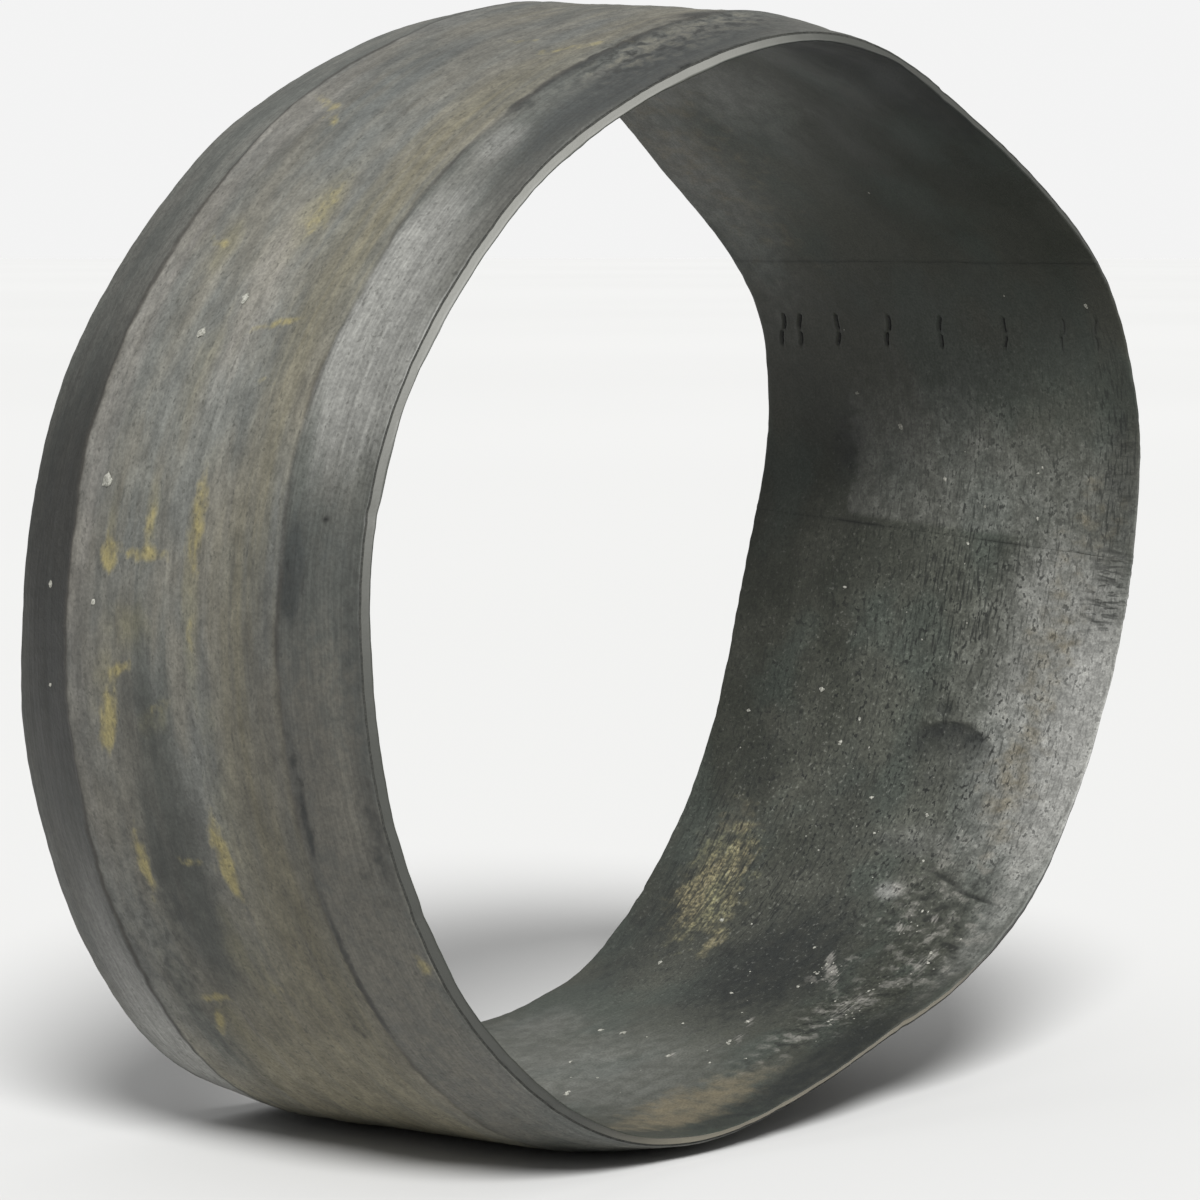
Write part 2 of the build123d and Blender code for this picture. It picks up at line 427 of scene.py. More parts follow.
BORE_STAINS_AND_PAINTED_SHADE = {
    "dust": [
        (-22, -46, 44, 10, 0, 0.95),
        (-22, -33, 44, 12, 0, 0.62),
        (-3, -32, 14, 12, 0, 0.4),
        (-37, -15, 5, 12, 0, 0.3),
        (-18, -18, 36, 12, 0, 0.25),
        (-78, 36, 16, 12, 0, 0.25),
        (48, 42, 50, 14, 0, 0.42),
        (62, 12, 18, 22, 0, 0.36),
        (-50, -46, 26, 6, 0, 0.4),
        (-44.5, -15, 3, 4, 0, 0.7),
        (-92, 2, 36, 46, 0, 0.36),
    ],
    # soot, and painted shade at the top of the bore near the near rim
    "soot": [
        (-20, -11, 2.6, 2.6, 0, 0.8),
        (-29, -14, 3, 9, 0, 0.4),
        (-38, -12, 3, 10, 0, 0.5),
        (10, 27, 9, 6, 0, 0.7),
        (8, -46, 26, 5, 0, 0.45),
        (-82, -46, 48, 7, 0, 1.0),
        (-60, 0, 25, 20, 0, 1.0),
        (-56, 38, 28, 16, 0, 0.6),
        (-70, -10, 18, 14, 0, 0.4),
        (-38, 2, 18, 9, 0, 0.4),
        (-30, 32, 20, 6, 0, 0.4),
        (78, -46, 60, 18, 0, 0.95),
        (76, -42, 30, 14, 0, 0.9),
        (84, -30, 20, 26, 0, 0.5),
        (-43, 26, 8, 6, 0, 0.4),
        (-52, -5, 16, 9, 0, 0.5),
        (-30, 10, 10, 8, 0, 0.3),
        (-75, -43, 14, 7, 0, 0.5),
    ],
    "brown": [
        (-95, -34, 22, 9, 0, 0.85),
        (-104, -38, 14, 6, 0, 0.6),
        (-9, -34, 15, 8, 0, 0.28),
        (-27, -32, 12, 9, 0, 0.28),
        (3, -40, 10, 8, 0, 0.25),
        (-38, 33, 5, 6, 0, 0.5),
        (52, 36, 44, 18, 0, 0.3),
        (-22, -34, 36, 6, 0, 0.3),
    ],
    "chalk": [
        (-46, 32, 17, 8, 0, 1.0),
        (-51, 28, 12, 8, 0, 0.6),
        (-55.5, 20, 6, 2, 0, 0.9),
    ],
    "white": [
        (-58.5, -17, 3.4, 1.4, 60, 1.0),
        (-61, -21, 2.6, 1.1, 20, 0.8),
        (-56.4, -13.5, 2.4, 1.1, 20, 0.9),
        (-44, -17, 2.6, 1.3, 50, 0.8),
        (-49.6, -24, 2.0, 1.1, 40, 0.8),
        (-47.6, -31, 1.8, 0.9, 20, 0.8),
        (-76.5, -17.5, 2.8, 0.9, 30, 0.7),
        (-71.8, -13.5, 2.4, 1.0, 30, 0.7),
        (-83.5, -10, 2.0, 0.8, 30, 0.7),
        (-66, -32, 8, 3, 0, 0.5),
        (-55, -38, 6, 2.5, 0, 0.5),
    ],
    "scuffed": [
        (-68, -31, 20, 8, 0, 0.9),
        (-59, -18, 7, 6, 0, 0.9),
        (-54, -38, 22, 9, 0, 0.8),
        (-48, -25, 12, 9, 0, 0.7),
        (-80, -31, 14, 5, 0, 0.6),
        (-40, -30, 12, 14, 0, 0.4),
    ],
    "wrinkled": [
        (-5, -45, 11, 6, 0, 0.8),
        (8, -46, 14, 5, 0, 0.4),
    ],
    "dashed": [
        (-7, -8, 22, 14, 0, 0.7),
        (12, -44, 26, 6, 0, 0.7),
        (-50, 12, 24, 5, 0, 0.8),
        (-42, 40, 30, 6, 0, 0.6),
        (-46, 30, 16, 9, 0, 0.7),
    ],
    # painted shade on the bore's upper +X side, towards the near rim
    "sooty": [
        (54, -34, 40, 38, 0, 0.7),
        (70, -36, 46, 22, 0, 0.9),
    ],
    "rubbed": [
        (-20, -20, 60, 34, 0, 0.9),
        (8, -15, 36, 36, 0, 0.9),
        (-85, 20, 50, 50, 0, 0.8),
        (75, 10, 50, 60, 0, 0.6),
        (54, 30, 40, 30, 0, 1.0),
    ],
    "speckled": [
        (-30, 0, 85, 60, 0, 1.0),
        (5, -20, 36, 30, 0, 0.6),
        (-66, -34, 24, 12, 0, 0.8),
    ],
}

# Small crumbs stuck to the surface: angle, y, size
OUTSIDE_CRUMBS = [
    (153.4, 8.4, 1.9),
    (149.6, 0.3, 2.0),
    (168.8, 22, 2.2),
    (179.4, 37, 1.6),
    (180.6, 22.2, 1.3),
    (189.2, 37, 0.9),
]
BORE_CRUMBS = [
    (-98.5, -6, 1.5),
    (-97.6, -5, 1.0),
    (-84, -9.6, 1.4),
    (-72, -13, 1.2),
    (-78.5, -17.5, 1.1),
    (-77.6, -16.6, 1.0),
    (-79, 11, 1.3),
    (-78.5, 18, 1.1),
    (-62.5, -13, 0.9),
    (-60.4, 29.8, 1.2),
    (-32.3, 1, 1.2),
    (-25.8, 14, 1.3),
    (-19.4, 22.5, 1.1),
    (-23.2, 41, 0.9),
    (12.4, 12.8, 1.4),
    (6.8, -0.2, 0.8),
    (26.5, -42.5, 1.1),
    (3, -25.5, 0.7),
    (8.5, -25.5, 0.8),
    (7.9, -24.6, 0.6),
    (4, -11.5, 0.7),
]
# Loose scuffs: middle angle, middle y, spread round, spread across, how many
CRUMB_DRIFTS = [
    (-58.5, -16, 3.0, 4.0, 20),
    (-66, -33, 8.0, 5.0, 16),
    (-55, -38, 6.0, 4.0, 10),
    (-49.5, -27, 2.5, 4.5, 8),
    (-30, 0, 60.0, 30.0, 34),
    (-85, 0, 25.0, 30.0, 14),
]


# ---- meshes
SHARP_ANGLE = 55


def make_piece(name, points, faces, masks, material):
    """Links a mesh object from points in mm, with its masks as point attributes."""
    mesh = bpy.data.meshes.new(name)
    mesh.from_pydata((points * MM).tolist(), [], faces)
    for mask, values in masks.items():
        attribute = mesh.attributes.new(mask, "FLOAT", "POINT")
        attribute.data.foreach_set("value", np.ascontiguousarray(values, np.float32).ravel())
    mesh.shade_smooth()
    mesh.set_sharp_from_angle(angle=radians(SHARP_ANGLE))
    mesh.materials.append(material)
    piece = bpy.data.objects.new(name, mesh)
    bpy.context.scene.collection.objects.link(piece)
    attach(piece, BODY)
    return piece


def grid_faces(rows, columns, closed):
    """Quads of a grid whose columns go round a closed outline, and whose rows may close into a ring."""
    faces = []
    for row in range(rows if closed else rows - 1):
        this, beside = row * columns, (row + 1) % rows * columns
        for column in range(columns):
            after = (column + 1) % columns
            faces.append((this + column, this + after, beside + after, beside + column))
    if not closed:
        faces.append(tuple(range(columns))[::-1])
        faces.append(tuple((rows - 1) * columns + column for column in range(columns)))
    return faces


def even(start, end, step):
    """Values from start up to, but not including, end."""
    count = max(1, ceil(abs(end - start) / step))
    return start + (end - start) * np.arange(count) / count


def chain(stops, steps):
    """Values that pass each stop, with its own step after each, the last stop included."""
    spans = [even(a, b, step) for a, b, step in zip(stops, stops[1:], steps)]
    return np.concatenate([*spans, [stops[-1]]])


RING_STEPS = 900
FULL_RING = (np.arange(RING_STEPS) / RING_STEPS * tau)[:, None]


def sink_of_band():
    """How far down the sleeve goes to stand on the floor, its lowest line pressed flat."""
    lines = np.array([[-SHOULDER, 0.0, SHOULDER]])
    lowest = shape(FULL_RING, lines, OUTER_R)[..., 2].min()
    return lowest - REST_Z + PRESSED_FLAT


SINK = sink_of_band()


def place(angle, y, radius):
    """Points of a surface, in mm, with the sleeve standing on the floor."""
    points = shape(angle, y, radius)
    points[..., 2] = np.maximum(points[..., 2] - SINK, REST_Z)
    return points.reshape(-1, 3)


def outside_masks(angle, y):
    """The masks of the outside's stains and of its painted light and shade, with the ground bevels and the
    shoulder's dark edge.
    """
    past = np.abs(y) - shoulder_line(angle, y)
    masks = {name: ovals(angle, y, marks) for name, marks in OUTSIDE_STAINS_AND_PAINTED_LIGHT.items()}
    masks["ground"] = smooth(past, -0.2, 0.5)
    at_shoulder = np.exp(-((past / 0.7) ** 2))
    near_strength = 0.35 + 0.4 * smooth(ripples(angle, 0, 30, WIDE, seed=51), -0.5, 1.5)
    masks["edge"] = at_shoulder * np.where(y > 0, 0.9, near_strength)
    return masks


def splice_skew(y):
    """How far the strip's lower edge strays from straight across the bore, in degrees."""
    return SPLICE_SKEW * (y - SKEW_MIDDLE)


def strip_dust(angle, y):
    """The dusty lower part of the splice strip, ending in a rough line across it."""
    strength = 0.36
    turned = np.degrees(past_direction(angle, 0))
    top = 11 - 5 * smooth(-y, 0, 25)
    above_edge = smooth(turned - splice_skew(y), 0.2, 1.2)
    below_top = 1 - smooth(turned - top, 0, 13)
    rough_y = y + 1.2 * ripples(angle, 0, 7, WIDE, seed=63)
    return strength * above_edge * below_top * (1 - smooth(rough_y, 24, 27.5))


def bore_masks(angle, y):
    """The masks of the bore's stains and of its painted shade."""
    masks = {name: ovals(angle, y, marks) for name, marks in BORE_STAINS_AND_PAINTED_SHADE.items()}
    masks["dust"] = np.maximum(masks["dust"], strip_dust(angle, y))
    # Painted shade in the crescent dent, in both masks here: darkest along its sharp edge, fading below it
    masks["soot"] = np.maximum(masks["soot"], 0.85 * crescent(angle, y))
    masks["crack"] = np.maximum(ovals(angle, y, CREASES), 0.5 * crescent(angle, y))
    return masks


def make_cover(material):
    """The band's weathered skin, ground away to a feather edge at both ends."""
    turn = 1.2
    outer_y = chain(
        [-COVER_EDGE, -SHOULDER - turn, -SHOULDER + turn, SHOULDER - turn, SHOULDER + turn, COVER_EDGE],
        [0.45, 0.3, 1.25, 0.3, 0.45],
    )
    under_y = np.linspace(COVER_EDGE - 1, 1 - COVER_EDGE, 8)
    under_r = np.full((RING_STEPS, under_y.size), CORE_R)
    radius = np.concatenate([skin_radius(FULL_RING, outer_y), under_r], 1)
    y = np.concatenate([outer_y, under_y])[None, :]
    points = place(FULL_RING, y, radius)
    faces = grid_faces(RING_STEPS, y.size, closed=True)
    piece = make_piece("cover", points, faces, outside_masks(FULL_RING, y), material)
    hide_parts("outer_cover")


def make_core(material):
    """The wall's body, whose ground ends are the rest of the two bevels."""
    clearance = 0.02  # under the cover
    near_bevel = chain([-face_y(CORE_EDGE_R), -COVER_EDGE], [0.26])
    under = np.linspace(1 - COVER_EDGE, COVER_EDGE - 1, 6)
    far_bevel = -near_bevel[::-1]
    back = np.linspace(face_y(TEXTILE_R), -face_y(TEXTILE_R), 10)
    columns = [
        skin_radius(FULL_RING, near_bevel),
        np.full((RING_STEPS, under.size), CORE_R - clearance),
        skin_radius(FULL_RING, far_bevel),
        np.full((RING_STEPS, back.size), TEXTILE_R),
    ]
    radius = np.concatenate(columns, 1)
    y = np.concatenate([near_bevel, under, far_bevel, back])[None, :]
    points = place(FULL_RING, y, radius)
    faces = grid_faces(RING_STEPS, y.size, closed=True)
    piece = make_piece("core", points, faces, outside_masks(FULL_RING, y), material)
    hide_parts("wall_core")


def make_textile(material):
    """The cloth ply, seen only as a thin dark line at each rim, where it lies a little deeper."""
    recess = 0.08
    middle_r = (LINER_R + TEXTILE_R) / 2
    radius = np.array([LINER_R, middle_r, TEXTILE_R, TEXTILE_R, TEXTILE_R, middle_r, LINER_R, LINER_R])
    y = (face_y(radius) - recess) * np.array([[-1, -1, -1, 0, 1, 1, 1, 0]])
    fray = 0.04 * ripples(FULL_RING, y * 10, 3, WIDE, seed=61)
    at_ends = np.abs(y) > 1
    fray = fray * at_ends * np.sign(y)
    points = place(FULL_RING, y + fray, np.broadcast_to(radius, fray.shape))
    faces = grid_faces(RING_STEPS, y.size, closed=True)
    piece = make_piece("textile", points, faces, {}, material)
    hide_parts("textile_ply")


def splice_edges(radius, y):
    """Angles of the splice strip's lower and upper slanted edges, in radians."""
    lap = (np.clip(radius, BORE_R, LINER_R) - BORE_R) / (LINER_R - BORE_R) * SKIVE_LAP / LINER_R
    return lap + np.radians(splice_skew(y)), radians(SPLICE_END) - lap


def rim_rounding(y):
    """How much the bore widens at the very rim."""
    corner = 0.45
    depth = 0.6 * corner
    inside = np.clip((np.abs(y) - (END - corner)) / corner, 0, 1)
    return depth * (1 - np.sqrt(1 - inside**2 * 0.999))


def stitch_frame(angle, y, number):
    """Distance along and beside one stitch, in mm, on the bore."""
    lean = radians(STITCH_SLANT)
    round_way = (radians(STITCH_ANGLE) - angle) * BORE_R
    up = y - STITCH_PLACES[number]
    along = round_way * cos(lean) + up * sin(lean)
    beside = up * cos(lean) - round_way * sin(lean)
    return along, beside - stitch_wander(along, number)


def stitch_wander(along, number):
    """How far a stitch strays from a straight line: each one steps aside at its gap, and curves."""
    phase = number * 2.1
    step = 0.22 * np.tanh((along - STITCH_GAP) * 2) * np.cos(phase)
    return step + 0.2 * np.sin(along * 0.9 + phase)


def stitch_open(along, number):
    """Where a stitch lies open: two short dashes, each end buried."""
    ends = smooth(STITCH_LENGTH / 2 - np.abs(along), 0, 1.0)
    gap = np.exp(-(((along - STITCH_GAP) / 0.4) ** 2))
    return STITCH_SHOWS[number] * ends * (1 - 0.8 * gap)


def stitch_relief(angle, y):
    """Slots that the stitches lie in, with the lips that they pull up."""
    relief = 0.0
    for number in range(len(STITCH_PLACES)):
        along, beside = stitch_frame(angle, y, number)
        slot = np.exp(-((beside / 0.35) ** 2))
        lips = np.exp(-(((np.abs(beside) - 0.8) / 0.4) ** 2))
        relief = relief + stitch_open(along, number) * (SLOT_DEPTH * slot - 0.1 * lips)
    return relief


def stitch_dirt(angle, y):
    """The dark line that each stitch draws on the strip."""
    dirt = np.zeros(np.broadcast(angle, y).shape)
    for number in range(len(STITCH_PLACES)):
        along, beside = stitch_frame(angle, y, number)
        dirt = dirt + 0.85 * stitch_open(along, number) * np.exp(-((beside / 0.45) ** 2))
    return dirt


def joint_groove(distance):
    """The fine groove where strip and liner meet."""
    return 0.03 * np.exp(-((distance / 0.4) ** 2))


def joint_darkness(angle, y, distance):
    """Dirt in the joints: it comes and goes, and two lengths of the lower one are darkest."""
    lower = np.cos(angle) > cos(radians(SPLICE_END / 2))
    amount = 0.35 - 0.2 * lower + 0.1 * ripples(0, y, WIDE, 30, seed=62)
    amount = amount + 0.6 * lower * smooth(y, 13, 18) * (1 - smooth(y, 26, 28))
    amount = amount + 0.4 * lower * smooth(y, -24, -20) * (1 - smooth(y, -14, -8))
    return np.clip(amount, 0, 1) * np.exp(-((distance / 0.45) ** 2)) * np.ones(angle.shape)


def bore_outline(bore_y):
    """Closed outline of a ply on the bore: bore, far end, back, near end, as radius and y."""
    ends_r = np.linspace(BORE_R, LINER_R, 5)[1:-1]
    back_y = np.linspace(face_y(LINER_R), -face_y(LINER_R), 8)
    bore_r = np.full(bore_y.size, BORE_R)
    back_r = np.full(back_y.size, LINER_R)
    radius = np.concatenate([bore_r, ends_r, back_r, ends_r[::-1]])
    y = np.concatenate([bore_y, face_y(ends_r), back_y, -face_y(ends_r[::-1])])
    return radius[None, :], y[None, :]


def end_masks(angle, y, bore_columns):
    """Marks the end faces of a bore ply, and where their cut looks fresh or tan instead of dark."""
    cut = np.zeros(angle.shape)
    cut[:, bore_columns:] = 1.0
    turned = np.degrees(angle) % 360
    fresh = smooth(turned, 80, 105) * (1 - smooth(turned, 145, 195))
    tan = smooth(turned, 238, 262) * (1 - smooth(turned, 298, 312))
    return {"cut": cut, "fresh": cut * fresh * (y < 0), "tan": cut * tan * (y < 0)}


def make_bore_ply(name, material, bore_y, angle, from_joint, relief=0.0, dirt=0.0):
    """A ply on the bore, from the places of its grid, with any relief and dirt of its own."""
    nominal_r, y = bore_outline(bore_y)
    on_bore = np.arange(y.size)[None, :] < bore_y.size
    bore = bore_radius(angle, y) + rim_rounding(y) + joint_groove(from_joint) + relief
    radius = np.where(on_bore, bore, np.broadcast_to(nominal_r, angle.shape))
    points = place(angle, np.broadcast_to(y, angle.shape), radius)
    masks = bore_masks(angle, y)
    masks.update(end_masks(angle, y, bore_y.size))
    masks["crack"] = np.maximum(masks["crack"], dirt)
    masks["joint"] = joint_darkness(angle, y, from_joint)
    faces = grid_faces(len(angle), y.size, closed=False)
    return make_piece(name, points, faces, masks, material)


def make_liner(material):
    """Sheet rubber bent into a ring, open where the splice strip goes."""
    rim_reach = 0.9
    joint_reach = 2
    detailed_y = -10  # the steps are shorter between the near rim and here
    detailed_angle = 64  # and this far below the strip, in degrees
    bore_y = chain([-END, -END + rim_reach, detailed_y, END - rim_reach, END], [0.15, 0.7, 1.1, 0.15])
    nominal_r, y = bore_outline(bore_y)
    length = BORE_R * (tau - radians(SPLICE_END))
    detailed = length - BORE_R * radians(detailed_angle)
    stops = [0, joint_reach, detailed, length - joint_reach, length]
    run = chain(stops, [0.2, 1.15, 0.5, 0.2])[:, None] / length
    lower, upper = splice_edges(nominal_r, y)
    angle = upper + run * (tau + lower - upper)
    from_joint = np.minimum(run, 1 - run) * length
    piece = make_bore_ply("liner", material, bore_y, angle, from_joint)
    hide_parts("inner_liner")


def strip_columns():
    """Places along Y of the strip's columns, close together at each stitch and at the rims."""
    columns = [-END]
    while columns[-1] < END:
        last = columns[-1]
        from_stitch = min(abs(last - at) for at in STITCH_PLACES)
        close = from_stitch < 3.6 or END - abs(last) < 0.6
        columns.append(min(END, last + (0.25 if close else 0.8)))
    return np.array(columns)


def make_strip(material):
    """Thin strip let into the liner's gap, with a proud lower edge and a slot for each stitch."""
    joint_reach = 1.6
    stitch_reach = 5.2
    bore_y = strip_columns()
    nominal_r, y = bore_outline(bore_y)
    length = BORE_R * radians(SPLICE_END)
    stitches = BORE_R * radians(STITCH_ANGLE)
    stops = [0, joint_reach, stitches - stitch_reach, stitches + stitch_reach, length - joint_reach, length]
    run = chain(stops, [0.16, 0.9, 0.3, 0.9, 0.16])[:, None] / length
    lower, upper = splice_edges(nominal_r, y)
    angle = lower + run * (upper - lower)
    from_lower = run * length
    from_upper = length - from_lower
    from_joint = np.minimum(from_lower, from_upper)
    proud = 0.07 * np.exp(-from_lower / 2.5) + 0.02 * np.exp(-from_upper / 2.5)
    relief = stitch_relief(angle, y) - proud
    dirt = stitch_dirt(angle, y)
    piece = make_bore_ply("strip", material, bore_y, angle, from_joint, relief, dirt)
    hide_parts("splice_strip")


def make_threads(material):
    """The stitches: each a short thread that dives into the rubber at both ends."""
    sides = 10
    rings = 30
    round_section = np.arange(sides) / sides * tau
    along = np.linspace(-STITCH_LENGTH / 2, STITCH_LENGTH / 2, rings)[:, None]
    lean = radians(STITCH_SLANT)
    all_points = []
    all_faces = []
    for number, middle_y in enumerate(STITCH_PLACES):
        beside = stitch_wander(along, number) + THREAD_R * 0.8 * np.cos(round_section)
        dive = 0.9 * (1 - stitch_open(along, number))
        twist = 0.04 * np.sin(round_section * 2 + along * 4)
        depth = SLOT_DEPTH + dive + (THREAD_R + twist) * np.sin(round_section)
        angle = radians(STITCH_ANGLE) - (along * cos(lean) - beside * sin(lean)) / BORE_R
        y = middle_y + along * sin(lean) + beside * cos(lean)
        base = number * sides * rings
        all_points.append(place(angle, y, BORE_R + depth))
        all_faces += [tuple(base + i for i in face) for face in grid_faces(rings, sides, closed=False)]
    piece = make_piece("threads", np.concatenate(all_points), all_faces, {}, material)
    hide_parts("splice_stitches")


def lump_shape():
    """Corners and faces of a small ball, to make crumbs from."""
    mesh = bmesh.new()
    bmesh.ops.create_icosphere(mesh, subdivisions=2, radius=1.0)
    corners = np.array([corner.co[:] for corner in mesh.verts])
    faces = [tuple(corner.index for corner in face.verts) for face in mesh.faces]
    mesh.free()
    return corners, faces


def make_crumbs(name, crumbs, surface, outward, material, seed):
    """Small flat crumbs stuck to a surface. A crumb is: angle, y, size."""
    flatness = 0.44
    rng = np.random.default_rng(seed)
    ball, ball_faces = lump_shape()
    all_points = []
    all_faces = []
    for number, (at, y, size) in enumerate(crumbs):
        swelling = 1 + 0.28 * rng.normal(size=(len(ball), 1))
        squeeze = rng.uniform(0.6, 1.3, 3)
        lump = ball * swelling * squeeze * size / 2
        round_way = lump[:, 0]
        across = lump[:, 1]
        height = lump[:, 2] * flatness
        angle = radians(at) + round_way / BORE_R
        middle = float(surface(np.array([[radians(at)]]), np.array([[float(y)]]))[0, 0])
        base = number * len(ball)
        all_points.append(place(angle, y + across, middle + outward * height))
        all_faces += [tuple(base + i for i in face) for face in ball_faces]
    make_piece(name, np.concatenate(all_points), all_faces, {}, material)


def drifting_crumbs(seed):
    """Scuffed-up crumbs, scattered about the middles in CRUMB_DRIFTS."""
    off_rims = END - 2
    rng = np.random.default_rng(seed)
    crumbs = []
    for at, middle_y, spread_round, spread_across, count in CRUMB_DRIFTS:
        for _ in range(count):
            angle = at + spread_round * rng.normal() / 2
            y = float(np.clip(middle_y + spread_across * rng.normal() / 2, -off_rims, off_rims))
            size = 0.25 + 0.7 * rng.random() ** 2
            crumbs.append((angle, y, size))
    return crumbs


# ---- materials
def tone(red, green, blue):
    """A colour from its 0 to 255 screen values."""
    return tuple((value / 255) ** 2.2 for value in (red, green, blue)) + (1.0,)


def put(tree, kind, inputs, **settings):
    """Adds a shader node; an input's value is a constant or another node's output."""
    node = tree.nodes.new("ShaderNode" + kind)
    for key, value in settings.items():
        setattr(node, key, value)
    for socket, value in inputs.items():
        if isinstance(value, bpy.types.NodeSocket):
            tree.links.new(value, node.inputs[socket])
        else:
            node.inputs[socket].default_value = value
    return node


# Tints of the band's weathering; the last one is also painted shade low on the -X side
WARM = tone(96, 92, 77)
COOL = tone(80, 83, 81)
MAUVE = tone(101, 99, 94)
DARK_AND_SHADE = tone(58, 60, 56)


def mask_of(tree, name):
    """One of the mesh's named masks."""
    return put(tree, "Attribute", {}, attribute_name=name).outputs["Fac"]


def noise(tree, round_length, across_length, detail=2.0, offset=0.0):
    """Noise whose patches are about so long, in mm, round the sleeve and across it."""
    where = put(tree, "TexCoord", {}).outputs["Object"]
    scale = (1 / (round_length * MM), 1 / (across_length * MM), 1 / (round_length * MM))
    scaled = put(tree, "VectorMath", {0: where, 1: scale}, operation="MULTIPLY").outputs[0]
    moved = put(tree, "VectorMath", {0: scaled, 1: (offset, offset, offset)}, operation="ADD").outputs[0]
    return put(tree, "TexNoise", {"Vector": moved, "Scale": 1.0, "Detail": detail}).outputs[0]


def between(tree, value, low, high, to_low=0.0, to_high=1.0):
    """Maps low..high smoothly to to_low..to_high."""
    inputs = {"Value": value, "From Min": low, "From Max": high, "To Min": to_low, "To Max": to_high}
    return put(tree, "MapRange", inputs, interpolation_type="SMOOTHSTEP").outputs[0]


def times(tree, first, second):
    return put(tree, "Math", {0: first, 1: second}, operation="MULTIPLY").outputs[0]


def plus(tree, first, second):
    return put(tree, "Math", {0: first, 1: second}, operation="ADD").outputs[0]


def minus(tree, first, second):
    return put(tree, "Math", {0: first, 1: second}, operation="SUBTRACT").outputs[0]


def mix(tree, factor, under, over):
    """Mixes two colours."""
    return put(tree, "Mix", {0: factor, 6: under, 7: over}, data_type="RGBA").outputs[2]


def new_material(name):
    """A material, its node tree and its shader."""
    material = bpy.data.materials.new(name)
    material.use_nodes = True
    tree = material.node_tree
    return material, tree, tree.nodes["Principled BSDF"]


def add_bump(tree, shader, height, distance):
    """Fine relief from a pattern, so many mm deep."""
    normal = put(tree, "Bump", {"Height": height, "Distance": distance * MM, "Strength": 1.0}).outputs[0]
    tree.links.new(normal, shader.inputs["Normal"])


def scaled(tree, colour, factor):
    """A colour made lighter or darker by a factor."""
    return put(tree, "VectorMath", {0: colour, "Scale": factor}, operation="SCALE").outputs[0]


def broken(tree, name, pattern, wildness, low=0.2, high=0.8):
    """A named mask, its edges broken up by a noise pattern."""
    mask = mask_of(tree, name)
    push = times(tree, minus(tree, pattern, 0.5), wildness)
    ragged = between(tree, plus(tree, mask, push), low, high)
    return times(tree, ragged, between(tree, mask, 0.0, 0.1))


def uneven(tree, colour, pattern, spread):
    """A colour made up to so much lighter and darker by a noise pattern."""
    return scaled(tree, colour, between(tree, pattern, 0.3, 0.7, 1 - spread, 1 + spread))


def speckled(tree, colour, pattern, above, over, strength):
    """Specks of another colour, where a noise pattern is high."""
    specks = times(tree, between(tree, pattern, above, above + 0.06), strength)
    return mix(tree, specks, colour, over)


